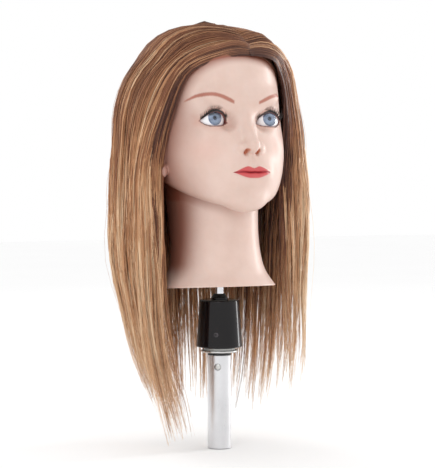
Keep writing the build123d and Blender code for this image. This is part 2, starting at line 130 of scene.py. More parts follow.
def spline(table, column, at):
    """A natural cubic spline of one column over a table's first, held at its ends."""
    x, y = table[:, 0], table[:, column]
    n, h = len(x), np.diff(x)
    a, r = np.zeros((n, n)), np.zeros(n)
    a[0, 0] = a[-1, -1] = 1
    for i in range(1, n - 1):
        a[i, i - 1], a[i, i], a[i, i + 1] = h[i - 1], 2 * (h[i - 1] + h[i]), h[i]
        r[i] = 3 * ((y[i + 1] - y[i]) / h[i] - (y[i] - y[i - 1]) / h[i - 1])
    c = np.linalg.solve(a, r)
    at = np.clip(at, x[0], x[-1])
    k = np.clip(np.searchsorted(x, at) - 1, 0, n - 2)
    t = at - x[k]
    b = (y[k + 1] - y[k]) / h[k] - h[k] * (2 * c[k] + c[k + 1]) / 3
    d = (c[k + 1] - c[k]) / (3 * h[k])
    return y[k] + t * (b + t * (c[k] + t * d))


def smooth_step(low, high, x):
    t = np.clip((x - low) / (high - low), 0, 1)
    return t * t * (3 - 2 * t)


def smooth_min(a, b, k):
    h = np.clip(0.5 + 0.5 * (b - a) / k, 0, 1)
    return b + (a - b) * h - k * h * (1 - h)


def smooth_max(a, b, k):
    return -smooth_min(-a, -b, k)


def ellipsoid(p, centre, radii):
    q = [(p[i] - centre[i]) / radii[i] for i in range(3)]
    g = [q[i] / radii[i] for i in range(3)]
    k0 = np.sqrt(q[0] ** 2 + q[1] ** 2 + q[2] ** 2)
    k1 = np.sqrt(g[0] ** 2 + g[1] ** 2 + g[2] ** 2) + 1e-6
    return k0 * (k0 - 1) / k1


def round_cone(p, a, b, ra, rb):
    """A capsule from a to b whose radius goes from ra to rb."""
    a, b = np.array(a, float), np.array(b, float)
    ab = b - a
    t = sum((p[i] - a[i]) * ab[i] for i in range(3)) / float(ab @ ab)
    t = np.clip(t, 0, 1)
    d = np.sqrt(sum((p[i] - a[i] - ab[i] * t) ** 2 for i in range(3)))
    return d - ra - (rb - ra) * t


def sections(table, p, grow=0.0):
    """Level distance to a stack of superellipses. Its zero is the surface."""
    z = p[2].reshape(-1)
    a, front, back = (spline(table, i, z) for i in (1, 2, 3))
    shape = (1, 1, -1) if p[2].ndim == 3 else (-1,)
    a = np.maximum(a + grow, 0.5).reshape(shape)
    half = np.maximum((back - front) / 2 + grow, 0.5).reshape(shape)
    middle = ((back + front) / 2).reshape(shape)
    y = p[1] - middle
    rho = ((np.abs(p[0]) / a) ** EXPONENT + (np.abs(y) / half) ** EXPONENT) ** (1 / EXPONENT)
    r = np.sqrt(p[0] ** 2 + y**2)
    return r * (1 - 1 / np.maximum(rho, 1e-4))


def on_section(table, z, angle, grow=0.0):
    """x and y of a point of a level section, at an angle from +X towards +Y."""
    a, front, back = (spline(table, i, z) for i in (1, 2, 3))
    c, s = np.cos(angle), np.sin(angle)
    norm = (np.abs(c) ** EXPONENT + np.abs(s) ** EXPONENT) ** (1 / EXPONENT)
    return (a + grow) * c / norm, (front + back) / 2 + ((back - front) / 2 + grow) * s / norm


# ---------------------------------------------------------------- the vinyl head, as a distance field


def eye_opening(x, z):
    """About the distance to the edge of the eye's opening, negative inside it, for x on either side."""
    u = np.abs(x) - EYE[0]
    top, bottom = spline(LID_TOP, 1, u), spline(LID_BOTTOM, 1, u)
    d = np.maximum((z - top), (bottom - z)) * 0.85
    return np.maximum(d, np.abs(u) - LID_HALF)


def lips(x, z):
    """About the distance to the edge of the painted lips, negative inside them."""
    u = np.abs(x)
    d = np.maximum(z - spline(LIP_TOP, 1, u), spline(LIP_BOTTOM, 1, u) - z) * 0.9
    return np.maximum(d, u - LIP_HALF)


GRID = 0.9
FIELD_LOW, FIELD_HIGH = (0.0, -92.0, 160.0), (80.0, 117.0, 442.0)


def head_field():
    """Signed distances on a grid over the +X half of the head, and the grid's axes."""
    axes = [np.arange(lo, hi, GRID, dtype=np.float32) for lo, hi in zip(FIELD_LOW, FIELD_HIGH)]
    whole = [axes[0][:, None, None], axes[1][None, :, None], axes[2][None, None, :]]
    skull = sections(SKULL, whole).astype(np.float32)
    skull = smooth_max(skull, whole[2] - CROWN_Z, 5.0)
    jaw = (JAW_Z + JAW_RISE * (whole[1] - JAW_Y) - whole[2]) * 0.94
    skull = smooth_max(skull, jaw, 9.0)
    neck = smooth_max(sections(NECK, whole), whole[2] - NECK_TOP_Z, 3.0)
    inside_neck = neck + SKIN
    field = smooth_min(skull, neck, 7.0).astype(np.float32)
    del skull, neck, jaw

    def patch(low, high):
        """A part of the grid, as its slices and its coordinates."""
        cut = tuple(slice(*np.searchsorted(axes[i], (low[i], high[i]))) for i in range(3))
        x, y, z = (axes[i][cut[i]] for i in range(3))
        return cut, (x[:, None, None], y[None, :, None], z[None, None, :])

    def join(low, high, shape, k):
        cut, p = patch(low, high)
        field[cut] = smooth_min(field[cut], shape(p), k)

    def carve(low, high, shape, k):
        cut, p = patch(low, high)
        field[cut] = smooth_max(field[cut], -shape(p), k)

    def swell(low, high, amount):
        """Moves the surface outwards by amount(p), in mm."""
        cut, p = patch(low, high)
        field[cut] -= amount(p)

    def add(low, high, centre, radii, k):
        join(low, high, lambda p: ellipsoid(p, centre, radii), k)

    def hollow(low, high, centre, radii, k):
        carve(low, high, lambda p: ellipsoid(p, centre, radii), k)

    # cheeks, muzzle and chin
    add((0, -75, 280), (72, 5, 345), (33.0, -39.5, 313.0), (17.0, 15.0, 18.0), 6.0)
    add((0, -90, 262), (42, -30, 316), (0.0, -57.5, 290.0), (27.0, 13.5, 17.0), 12.0)
    add((0, -85, 240), (40, -30, 285), (0.0, -56.0, 260.5), (20.0, 13.5, 11.5), 11.0)
    hollow((0, -90, 266), (30, -55, 288), (0.0, -77.0, 276.5), (16.0, 6.0, 4.2), 7.0)

    # brow bone, and the hollows under it and beside the nose
    add((0, -75, 350), (62, -15, 388), (22.0, -45.5, 367.0), (20.0, 10.5, 8.0), 10.0)
    hollow((0, -85, 320), (66, -28, 372), (31.0, -66.5, 346.0), (22.0, 14.5, 14.0), 7.0)
    hollow((0, -85, 322), (44, -28, 366), (20.5, -58.5, 342.0), (8.8, 12.8, 10.0), 4.5)

    # nose: ridge, tip, wing, septum and nostril, and the groove below it
    join((0, -92, 305), (24, -30, 372),
         lambda p: round_cone(p, (0, -51.5, 350), (0, -69.5, 318.5), 5.8, 6.4), 6.5)
    add((0, -92, 300), (26, -50, 335), (0.0, -70.5, 317.6), (7.2, 7.6, 6.4), 4.0)
    add((0, -92, 296), (30, -45, 332), (10.6, -63.0, 314.4), (5.6, 8.0, 5.3), 3.5)
    join((0, -92, 300), (14, -55, 322),
         lambda p: round_cone(p, (0, -74.0, 313.6), (0, -66.0, 308.0), 2.5, 2.5), 3.0)
    hollow((0, -92, 300), (20, -52, 326), (6.7, -68.6, 310.2), (2.5, 4.0, 3.6), 1.2)

    def philtrum(p):
        return -0.9 * np.exp(-((p[0] / 2.6) ** 2) - ((p[2] - 301) / 5.0) ** 2) * np.ones_like(p[1])

    swell((0, -90, 294), (10, -55, 309), philtrum)

    # lips
    def lip_shape(p):
        u = np.abs(p[0])
        top, mid, low = (spline(c, 1, u) for c in (LIP_TOP, LIP_PARTING, LIP_BOTTOM))
        z = p[2]
        upper = np.clip((z - mid) / (top - mid + 0.8), 0, 1)
        lower = np.clip((mid - z) / (mid - low + 0.8), 0, 1)
        side = np.sqrt(np.clip(1 - (u / 24.0) ** 2, 0, 1))
        full = 2.6 * np.sin(np.pi * upper**0.75) ** 0.8 * (z >= mid)
        full = full + 3.3 * np.sin(np.pi * lower**0.8) ** 0.8 * (z < mid)
        groove = 1.0 * np.exp(-(((z - mid) / 0.8) ** 2))
        front = smooth_step(-52.0, -60.0, p[1])
        return (full * side - groove * side**0.5) * front

    swell((0, -90, 278), (25, -52, 302), lip_shape)

    # eyelids, as a shell over the eyeball with the opening cut out of it
    add((12, -62, 322), (55, -20, 364),
        (EYE[0], EYE[1], EYE[2] + 1.0), (EYE_R + 1.7, EYE_R + 1.7, EYE_R + 1.2), 3.0)

    def opening(p):
        d = eye_opening(p[0], p[2])
        return np.maximum(np.broadcast_to(d, np.broadcast_shapes(d.shape, p[1].shape)), p[1] + 33.0)

    carve((14, -75, 332), (52, -28, 358), opening, 0.7)

    def crease(p):
        line = np.exp(-(((p[2] - spline(LID_TOP, 1, p[0] - EYE[0]) - 5.2) / 1.1) ** 2))
        ends = np.clip(1 - (np.abs(p[0] - EYE[0]) / 17.0) ** 4, 0, 1)
        return -0.8 * line * ends * smooth_step(-30.0, -38.0, p[1])

    swell((15, -62, 340), (50, -28, 366), crease)

    # ears, with two hollows and a lobe
    turn, tip = math.radians(-14), math.radians(8)

    def ear_part(p, centre, radii):
        x, y, z = (p[i] - centre[i] for i in range(3))
        x, y = x * math.cos(turn) + y * math.sin(turn), y * math.cos(turn) - x * math.sin(turn)
        y, z = y * math.cos(tip) + z * math.sin(tip), z * math.cos(tip) - y * math.sin(tip)
        return ellipsoid((x, y, z), (0.0, 0.0, 0.0), radii)

    box = ((55, -20, 275), (81, 34, 350))
    join(*box, lambda p: ear_part(p, (71.0, 6.0, 314.0), (5.6, 14.6, 28.5)), 3.0)
    carve(*box, lambda p: ear_part(p, (78.0, 3.0, 311.0), (5.2, 7.6, 12.0)), 2.5)
    carve(*box, lambda p: ear_part(p, (78.2, 9.5, 325.0), (3.6, 5.4, 11.0)), 2.5)
    add(*box, (69.5, -5.5, 291.0), (4.6, 5.6, 6.8), 3.0)

    # the sloping rim of the neck and the hollow under the neck plate
    rim = NECK_RIM_Z - whole[1] * math.tan(NECK_RIM_RISE)
    cut, p = patch((0, -92, 160), (80, 117, 180))
    shell = np.maximum(inside_neck[cut], p[2] - (rim[:, :, 0][:, :, None] + 3.2))
    field[cut] = smooth_max(field[cut], -shell, 0.8)
    field[:] = smooth_max(field, (rim - whole[2]) * math.cos(NECK_RIM_RISE), 1.0)
    return field, axes


def surface_net(field, origin, step):
    """The zero surface of a grid of distances, as vertices and quads."""
    inside = field < 0
    count = np.zeros(tuple(n - 1 for n in field.shape), np.int8)
    corners = [(i, j, k) for i in (0, 1) for j in (0, 1) for k in (0, 1)]
    shape = count.shape
    for i, j, k in corners:
        count += inside[i : i + shape[0], j : j + shape[1], k : k + shape[2]]
    active = (count > 0) & (count < 8)
    cells = np.argwhere(active)
    number = np.full(shape, -1, np.int32)
    number[active] = np.arange(len(cells))
    total, hits = np.zeros((len(cells), 3)), np.zeros(len(cells))
    edges = [(a, b) for a in corners for b in corners
             if a < b and sum(abs(m - n) for m, n in zip(a, b)) == 1]
    for a, b in edges:
        fa = field[tuple((cells + a).T)].astype(float)
        fb = field[tuple((cells + b).T)].astype(float)
        crossed = (fa < 0) != (fb < 0)
        t = (fa / np.where(crossed, fa - fb, 1))[crossed]
        total[crossed] += np.array(a) + (np.array(b) - np.array(a)) * t[:, None]
        hits[crossed] += 1
    points = np.array(origin) + step * (cells + total / hits[:, None])
    quads = []
    for axis in range(3):
        u, v = (axis + 1) % 3, (axis + 2) % 3
        low = [slice(1, -1)] * 3
        high = [slice(1, -1)] * 3
        low[axis], high[axis] = slice(0, -1), slice(1, None)
        a, b = inside[tuple(low)], inside[tuple(high)]
        at = np.argwhere(a != b)
        start = np.ones(3, int)
        start[axis] = 0
        at = at + start
        flip = inside[tuple(at.T)]
        ring = []
        for du, dv in ((-1, -1), (0, -1), (0, 0), (-1, 0)):
            c = at.copy()
            c[:, u] += du
            c[:, v] += dv
            ring.append(number[tuple(c.T)])
        ring = np.stack(ring, 1)
        ring[~flip] = ring[~flip][:, ::-1]
        quads.append(ring)
    return points, np.concatenate(quads)


def sample(field, origin, step, points):
    """Trilinear values of the grid at points."""
    q = (points - np.array(origin)) / step
    q = np.clip(q, 0, np.array(field.shape) - 1.001)
    i = q.astype(int)
    t = q - i
    value = 0
    for a in (0, 1):
        for b in (0, 1):
            for c in (0, 1):
                w = np.abs(1 - a - t[:, 0]) * np.abs(1 - b - t[:, 1]) * np.abs(1 - c - t[:, 2])
                value = value + w * field[i[:, 0] + a, i[:, 1] + b, i[:, 2] + c]
    return value


def head_surface():
    half, axes = head_field()
    field = np.concatenate([half[:0:-1], half])
    origin = (-axes[0][-1], axes[1][0], axes[2][0])
    points, quads = surface_net(field, origin, GRID)
    reach = GRID * 0.7
    for _ in range(2):  # onto the true surface
        value = sample(field, origin, GRID, points)
        slope = np.stack([
            (sample(field, origin, GRID, points + e) - sample(field, origin, GRID, points - e)) / (2 * reach)
            for e in np.eye(3) * reach
        ], 1)
        size = np.maximum((slope**2).sum(1), 0.05)
        points = points - slope * np.clip(value / size, -0.6, 0.6)[:, None]
    return points, quads


# ---------------------------------------------------------------- meshes


def mesh_object(name, points, corners, starts, attributes=()):
    """A smooth-shaded object from points in mm, face corners and each face's first corner."""
    me = bpy.data.meshes.new(name)
    me.vertices.add(len(points))
    me.vertices.foreach_set("co", (np.asarray(points, np.float32) * MM).ravel())
    me.loops.add(len(corners))
    me.loops.foreach_set("vertex_index", np.asarray(corners, np.int32))
    me.polygons.add(len(starts))
    me.polygons.foreach_set("loop_start", np.asarray(starts, np.int32))
    me.update(calc_edges=True)
    for key, values in attributes:
        layer = me.attributes.new(key, "FLOAT", "POINT")
        layer.data.foreach_set("value", np.asarray(values, np.float32))
    me.shade_smooth()
    ob = bpy.data.objects.new(name, me)
    bpy.context.scene.collection.objects.link(ob)
    return ob


def quad_object(name, points, quads, attributes=()):
    return mesh_object(name, points, quads.ravel(), np.arange(len(quads)) * 4, attributes)


def tubes(name, paths, radii, outward, attributes, sides=3):
    """Closed tapering fibres. paths is (fibres, points, 3), radii and each attribute (fibres, points)."""
    n, k, _ = paths.shape
    along = np.gradient(paths, axis=1)
    along /= np.linalg.norm(along, axis=2, keepdims=True) + 1e-9
    normal = outward - (outward * along).sum(2, keepdims=True) * along
    normal /= np.linalg.norm(normal, axis=2, keepdims=True) + 1e-9
    across = np.cross(along, normal)
    turns = 2 * np.pi * np.arange(sides) / sides
    cosine, sine = (f(turns)[None, None, :, None] for f in (np.cos, np.sin))
    spokes = cosine * normal[:, :, None] + sine * across[:, :, None]
    rings = paths[:, :, None] + radii[:, :, None, None] * spokes
    index = np.arange(n * k * sides).reshape(n, k, sides)
    following = np.roll(index, -1, axis=2)
    quads = np.stack([index[:, :-1], following[:, :-1], following[:, 1:], index[:, 1:]], -1).reshape(-1, 4)
    caps = np.concatenate([index[:, 0, ::-1], index[:, -1]])
    corners = np.concatenate([quads.ravel(), caps.ravel()])
    starts = np.concatenate([np.arange(len(quads)) * 4, len(quads) * 4 + np.arange(len(caps)) * sides])
    values = [(key, np.repeat(v[:, :, None], sides, 2).ravel()) for key, v in attributes]
    return mesh_object(name, rings.reshape(-1, 3), corners, starts, values)


# ---------------------------------------------------------------- materials


def linear(*screen):
    """A colour given in 0 to 255 as screens show it, turned into linear light."""
    shares = [c / 255 for c in screen]
    return tuple(c / 12.92 if c <= 0.04045 else ((c + 0.055) / 1.055) ** 2.4 for c in shares) + (1.0,)


def grey(value):
    """A colour that carries one number, such as a roughness."""
    return value, value, value, 1.0


class Look:
    """A node material under construction."""

    def __init__(self, name):
        self.material = bpy.data.materials.new(name)
        self.material.use_nodes = True
        self.tree = self.material.node_tree
        self.shader = self.tree.nodes["Principled BSDF"]
        self.out = self.tree.nodes["Material Output"]

    def put(self, kind, inputs=None, **settings):
        n = self.tree.nodes.new("ShaderNode" + kind)
        for key, value in settings.items():
            setattr(n, key, value)
        for key, value in (inputs or {}).items():
            self.wire(n.inputs[key], value)
        return n

    def wire(self, socket, value):
        if isinstance(value, bpy.types.NodeSocket):
            self.tree.links.new(value, socket)
        else:
            socket.default_value = value

    def set(self, **inputs):
        for key, value in inputs.items():
            self.wire(self.shader.inputs[key.replace("_", " ")], value)

    def math(self, operation, a, b=0.0, c=None, clamp=False):
        n = self.put("Math", {0: a, 1: b}, operation=operation, use_clamp=clamp)
        if c is not None:
            self.wire(n.inputs[2], c)
        return n.outputs[0]

    def band(self, value, low, high, from_=0.0, to=1.0):
        """from_ where value is below low, to where it is above high, smooth between."""
        limits = {0: value, 1: low, 2: high, 3: from_, 4: to}
        return self.put("MapRange", limits, interpolation_type="SMOOTHSTEP").outputs[0]

    def blend(self, share, a, b, mode="MIX"):
        n = self.put("Mix", {0: share}, data_type="RGBA", blend_type=mode)
        self.wire(n.inputs[6], a)
        self.wire(n.inputs[7], b)
        return n.outputs[2]

    def ramp(self, value, stops):
        n = self.put("ValToRGB", {0: value})
        e = n.color_ramp.elements
        while len(e) < len(stops):
            e.new(0.5)
        for element, (at, colour) in zip(e, stops):
            element.position, element.color = at, colour
        return n.outputs[0]

    def noise(self, scale, detail=3.0, roughness=0.5, stretch=None, distortion=0.0):
        vector = self.put("TexCoord").outputs["Object"]
        if stretch:
            vector = self.put("Mapping", {"Vector": vector, "Scale": stretch}).outputs[0]
        return self.put("TexNoise", {"Vector": vector, "Scale": scale, "Detail": detail,
                                     "Roughness": roughness, "Distortion": distortion}).outputs[0]

    def gloss(self, value, smooth, rough):
        """Roughness that follows a noise."""
        return self.ramp(value, [(0.3, grey(smooth)), (0.7, grey(rough))])

    def bump(self, height, strength, distance):
        n = self.put("Bump", {"Strength": strength, "Distance": distance, "Height": height})
        self.tree.links.new(n.outputs[0], self.shader.inputs["Normal"])

    def attribute(self, name):
        return self.put("Attribute", attribute_name=name, attribute_type="GEOMETRY").outputs["Fac"]


def skin_look():
    """Soft vinyl with face paint and painted shade, laid on in the order in which the layers cover each
    other.
    """
    k = Look("painted_vinyl")
    mottle = k.noise(38.0, 4.0, 0.6)
    fine = k.noise(420.0, 3.0, 0.55)
    colour = k.ramp(mottle, [(0.35, linear(216, 187, 174)), (0.65, linear(222, 195, 183))])
    # the second layer is painted shade: the skin darkened brown beside the hair and under the jaw
    for layer, strength, paint in (
        ("blush", 0.18, (220, 150, 134)), ("painted_shade", 0.95, (140, 70, 46)),
        ("eye_shadow", 0.62, (196, 128, 108)),
    ):
        colour = k.blend(k.math("MULTIPLY", k.attribute(layer), strength), colour, linear(*paint))
    ragged = k.math("MULTIPLY", k.math("SUBTRACT", fine, 0.5), 1.1)
    brow = k.band(k.math("ADD", k.attribute("brow"), ragged), -1.4, 0.6, 0.9, 0.0)
    colour = k.blend(brow, colour, linear(168, 98, 78))
    lip_share = k.band(k.attribute("lips"), -0.5, 0.35, 1.0, 0.0)
    # the lips' red, darkest at the parting line: painted shade in the crease between the lips
    parting_shade = k.band(k.attribute("lip_line"), 0.0, 2.6)
    lip_colour = k.ramp(parting_shade, [
        (0.0, linear(158, 34, 46)), (0.3, linear(194, 52, 60)), (1.0, linear(200, 72, 74)),
    ])
    colour = k.blend(k.math("MULTIPLY", lip_share, 0.97), colour, lip_colour)
    colour = k.blend(k.band(k.attribute("nostril"), -0.2, 1.3, 0.85, 0.0), colour, linear(196, 104, 62))
    for layer, paint in (("lid_rim", (132, 62, 52)), ("liner", (24, 15, 18)), ("scalp", (150, 98, 68))):
        colour = k.blend(k.attribute(layer), colour, linear(*paint))
    k.set(Base_Color=colour, Subsurface_Weight=0.12, Subsurface_Scale=0.004,
          Subsurface_Radius=(1.0, 0.45, 0.3), IOR=1.45, Coat_Weight=0.3, Coat_Roughness=0.26)
    k.set(Roughness=k.blend(lip_share, k.gloss(mottle, 0.46, 0.54), grey(0.3)))
    k.bump(fine, 0.10, 0.0004)
    return k.material


def hair_look():
    k = Look("hair_fibre")
    drift = k.math("MULTIPLY", k.math("SUBTRACT", k.noise(60.0, 2.0), 0.5), 0.25)
    # the tone attribute holds the strands' colour and the painted shade on the inner ones
    colour = k.ramp(k.math("ADD", k.attribute("tone"), drift), [
        (0.0, linear(76, 42, 32)), (0.3, linear(140, 88, 60)), (0.55, linear(196, 140, 98)),
        (0.78, linear(228, 180, 136)), (1.0, linear(248, 218, 182)),
    ])
    scales = k.noise(240.0, 2.0)
    k.set(Base_Color=colour, Specular_IOR_Level=0.55, IOR=1.5, Roughness=k.gloss(scales, 0.36, 0.48))
    k.bump(scales, 0.15, 0.0001)
    return k.material


def cap_look():
    k = Look("hair_underlayer")
    streaks = k.noise(160.0, 4.0, 0.6, stretch=(1.0, 3.2, 0.25))
    k.set(Base_Color=k.ramp(streaks, [(0.3, linear(84, 50, 38)), (0.7, linear(140, 90, 64))]), Roughness=0.6)
    k.bump(streaks, 0.5, 0.001)
    return k.material


def plastic_look(name, low, high, gloss=(0.4, 0.5), grain=600.0, strength=0.12, coat=0.0, specular=0.5):
    k = Look(name)
    wear = k.noise(22.0, 5.0, 0.6)
    k.set(Base_Color=k.ramp(wear, [(0.35, linear(*low)), (0.65, linear(*high))]), Coat_Weight=coat,
          Coat_Roughness=0.06, Specular_IOR_Level=specular)
    k.set(Roughness=k.gloss(k.noise(55.0, 4.0, 0.65), *gloss))
    k.bump(k.noise(grain, 3.0), strength, 0.0002)
    return k.material


def metal_look(name, low, high, gloss, stretch, grain=900.0, strength=0.2):
    """Metal with machining or brushing lines along one direction."""
    k = Look(name)
    lines = k.noise(grain, 3.0, 0.6, stretch=stretch)
    smudge = k.noise(30.0, 4.0, 0.6)
    k.set(Metallic=1.0, Base_Color=k.ramp(smudge, [(0.3, linear(*low)), (0.7, linear(*high))]))
    mixed = k.math("ADD", k.math("MULTIPLY", lines, 0.5), k.math("MULTIPLY", smudge, 0.5))
    k.set(Roughness=k.ramp(mixed, [(0.35, grey(gloss[0])), (0.65, grey(gloss[1]))]))
    k.bump(lines, strength, 0.00015)
    return k.material


def gaze_coordinates(k):
    """Distance from the line of sight in metres, and the angle around it, at a point of either eye."""
    xyz = k.put("SeparateXYZ", {0: k.put("TexCoord").outputs["Object"]}).outputs
    u = k.math("SUBTRACT", k.math("ABSOLUTE", xyz[0]), EYE[0] * MM)
    y = k.math("SUBTRACT", xyz[1], EYE[1] * MM)
    z = k.math("SUBTRACT", xyz[2], EYE[2] * MM)
    v = k.math("ADD", k.math("MULTIPLY", z, math.cos(EYE_PITCH)), k.math("MULTIPLY", y, math.sin(EYE_PITCH)))
    far = k.math("SQRT", k.math("ADD", k.math("MULTIPLY", u, u), k.math("MULTIPLY", v, v)))
    return far, k.math("ARCTAN2", v, u)


def iris_look():
    k = Look("printed_iris")
    far, turn = gaze_coordinates(k)
    far = k.math("DIVIDE", far, IRIS_R * MM)
    place = k.put("CombineXYZ", {0: k.math("MULTIPLY", turn, 3.2), 1: k.math("MULTIPLY", far, 1.1)})
    spokes = k.put("TexNoise", {"Vector": place.outputs[0], "Scale": 5.0, "Detail": 4.0}).outputs[0]
    blue = k.ramp(spokes, [
        (0.3, linear(176, 194, 226)), (0.55, linear(204, 218, 240)), (0.8, linear(232, 240, 250)),
    ])
    blue = k.blend(k.band(far, 0.8, 1.0, 0.0, 0.6), blue, linear(120, 140, 186))
    blue = k.blend(k.band(far, 0.32, 0.5, 0.5, 0.0), blue, linear(130, 146, 186))
    blue = k.blend(k.band(far, 0.24, 0.32, 0.95, 0.0), blue, linear(40, 40, 58))
    k.set(Base_Color=blue, Roughness=0.35)
    k.bump(spokes, 0.2, 0.0002)
    return k.material


def eye_white_look():
    k = Look("eye_white")
    veins = k.noise(150.0, 5.0, 0.7, distortion=1.5)
    far, _ = gaze_coordinates(k)
    white = k.ramp(veins, [(0.3, linear(236, 236, 240)), (0.75, linear(244, 240, 240))])
    white = k.blend(k.band(far, 0.011, 0.016, 0.0, 0.45), white, linear(214, 170, 160))
    k.set(Base_Color=white, Roughness=0.12, Coat_Weight=0.5, Coat_Roughness=0.03)
    k.bump(veins, 0.03, 0.0002)
    return k.material


def cornea_look():
    """Clear acrylic: gloss on a see-through film."""
    k = Look("clear_dome")
    haze = k.noise(300.0, 3.0)
    ripple = k.put("Bump", {"Strength": 0.03, "Distance": 0.0001, "Height": haze})
    clear = k.put("BsdfTransparent", {0: (0.96, 0.97, 0.98, 1)})
    gloss = k.put("BsdfGlossy", {"Roughness": k.gloss(haze, 0.02, 0.05), "Normal": ripple.outputs[0]})
    edge = k.put("Fresnel", {0: 1.42})
    mix = k.put("MixShader", {0: edge.outputs[0], 1: clear.outputs[0], 2: gloss.outputs[0]})
    k.tree.nodes.remove(k.shader)
    k.tree.links.new(mix.outputs[0], k.out.inputs["Surface"])
    return k.material


def dress(node, material):
    """Gives a CAD node a material in each of its slots."""
    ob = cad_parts[node]
    for slot in ob.material_slots:
        slot.material = material
    if not ob.material_slots:
        ob.data.materials.append(material)


# ---------------------------------------------------------------- the head's pieces


AWAY = 100.0  # added to a distance where the paint must not reach


def eye_paint(u, y, z):
    """Rim of the lids, liner and shadow, as shares from 0 to 1."""
    front = smooth_step(-20.0, -32.0, y)
    lid = eye_opening(u, z) + AWAY * (y > -28)
    outside = np.clip(lid, 0, None)
    across = u - EYE[0]
    upper = smooth_step(-1.5, 1.0, z - (spline(LID_TOP, 1, across) + spline(LID_BOTTOM, 1, across)) / 2)
    ends = smooth_step(15.4, 13.6, np.abs(across))
    above = smooth_step(3.0, 2.0, outside) * smooth_step(-0.1, 0.5, outside) * upper
    below = 0.8 * smooth_step(1.0, 0.5, outside) * smooth_step(0.05, 0.3, outside) * (1 - upper)
    rim = 0.9 * np.maximum(smooth_step(0.9, 0.2, outside), smooth_step(0.2, -0.3, lid)) * front
    shadow = smooth_step(7.0, 0.5, outside) * front * (0.45 + 0.55 * smooth_step(344.0, 352.0, z))
    return rim, np.maximum(above, below) * ends * front, shadow


def brow_distance(u, y, z):
    """About the distance to the edge of the painted brow, negative inside it."""
    brow = np.abs(z - spline(BROW, 1, u)) - spline(BROW_HALF, 1, u)
    return np.maximum(brow, np.maximum(BROW[0, 0] - 0.3 - u, u - BROW[-1, 0])) + AWAY * (y > -12)


def scalp_and_shade(y, z):
    """The brown of the scalp, and painted shade beside the hair and under the jaw, as shares from 0 to 1."""
    behind = y - np.interp(z, HAIRLINE[:, 0], HAIRLINE[:, 1])
    reach = 46.0 - 31.0 * smooth_step(330.0, 375.0, z) + 18.0 * smooth_step(312.0, 282.0, z)
    # painted shade on the skin beside the hair, strongest at the hairline
    shade_by_hair = np.clip((behind + reach) / reach, 0, 1) ** 1.2 * smooth_step(246.0, 262.0, z)
    # painted shade under the jaw and down the side of the neck
    shade_under_jaw = 0.9 * smooth_step(-30.0, 6.0, y) * smooth_step(284.0, 268.0, z) * smooth_step(172.0, 196.0, z)
    return smooth_step(0.5, 5.0, behind) * smooth_step(300, 320, z), np.maximum(shade_by_hair, shade_under_jaw)


def make_head():
    points, quads = head_surface()
    x, y, z = points.T
    u = np.abs(x)
    rim, liner, shadow = eye_paint(u, y, z)
    # scalp paint, and painted shade beside the hair and under the jaw
    scalp, painted_shade = scalp_and_shade(y, z)
    nostril = np.sqrt((u - 6.7) ** 2 + ((z - 311.0) / 1.1) ** 2) - 2.1 + AWAY * (y > -62)
    blush = np.exp(-(((u - 44) / 15) ** 2) - ((z - 313) / 13) ** 2) * smooth_step(0, -20, y)
    values = [
        ("liner", liner), ("lid_rim", rim), ("eye_shadow", shadow), ("blush", blush), ("scalp", scalp),
        ("painted_shade", painted_shade), ("lip_line", np.abs(z - spline(LIP_PARTING, 1, u))),
        ("brow", np.clip(brow_distance(u, y, z), -3, 6)), ("nostril", np.clip(nostril, -3, 6)),
        ("lips", np.clip(lips(x, z) + AWAY * (y > -50), -4, 6)),
    ]
    ob = quad_object("vinyl_head", points, quads, values)
    ob.data.materials.append(skin_look())
    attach(ob, "head")
    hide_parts("head_skin", "neck_skin")


def make_lashes(side, material):
    """Upper and lower lashes of one eye."""
    rng = np.random.default_rng(SEED + (3 if side > 0 else 4))
    name = "left_lashes" if side > 0 else "right_lashes"
    paths, radii, k = [], [], 7
    for upper, count in ((True, 50), (False, 26)):
        for i in range(count):
            u = -13.6 + 28.2 * (i + rng.uniform(-0.4, 0.4)) / count
            table = LID_TOP if upper else LID_BOTTOM
            z = float(spline(table, 1, np.array([u]))[0]) + (0.9 if upper else -0.7)
            r = EYE_R + 1.6
            y = EYE[1] - math.sqrt(max(r * r - u * u - (z - EYE[2]) ** 2, 4.0))
            t = np.linspace(0, 1, k)
            length = (6.6 if upper else 2.6) * rng.uniform(0.7, 1.15) * (0.7 + 0.3 * (u + 15) / 30)
            fan = u * 0.030 + rng.normal(0, 0.07)
            out = length * (0.6 if upper else 0.5) * t
            rise = length * ((0.45 * t + 0.5 * t**2) if upper else (-0.6 * t + 0.1 * t**2))
            paths.append(np.stack([side * (EYE[0] + u + fan * length * t), y - out, z + rise], 1))
            radii.append((0.44 if upper else 0.16) * (1 - 0.85 * t))
    paths, radii = np.array(paths), np.array(radii)
    outward = np.zeros_like(paths)
    outward[:, :, 2] = 1
    tone = np.repeat(rng.uniform(0, 1, (len(paths), 1)), k, 1)
    ob = tubes(name + "_fibres", paths, radii, outward, [("tone", tone)], sides=4)
    ob.data.materials.append(material)
    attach(ob, "head")
    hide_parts(name)


def lash_look():
    k = Look("lash_fibre")
    grain = k.noise(500.0, 2.0)
    k.set(Base_Color=k.ramp(k.attribute("tone"), [(0.0, linear(14, 9, 10)), (1.0, linear(38, 24, 24))]),
          Roughness=k.gloss(grain, 0.35, 0.5))
    k.bump(grain, 0.1, 0.0001)
    return k.material


# ---------------------------------------------------------------- the hair

LOCK_NAMES = ("front", "side", "rear", "back")
LOCK_SHARES = (0.0, 0.256, 0.51, 0.757, 1.0)  # of the way from the front edge to the middle of the back
CLUMPS, PER_CLUMP, FRINGE_CLUMPS = 400, 12, 34  # on each side
HANG_Z = 330.0  # hair bends over the head above this height and hangs below it
ROOT_LOW, ROOT_HIGH = 336.0, 430.0
FRONT_ANGLE = -17.0
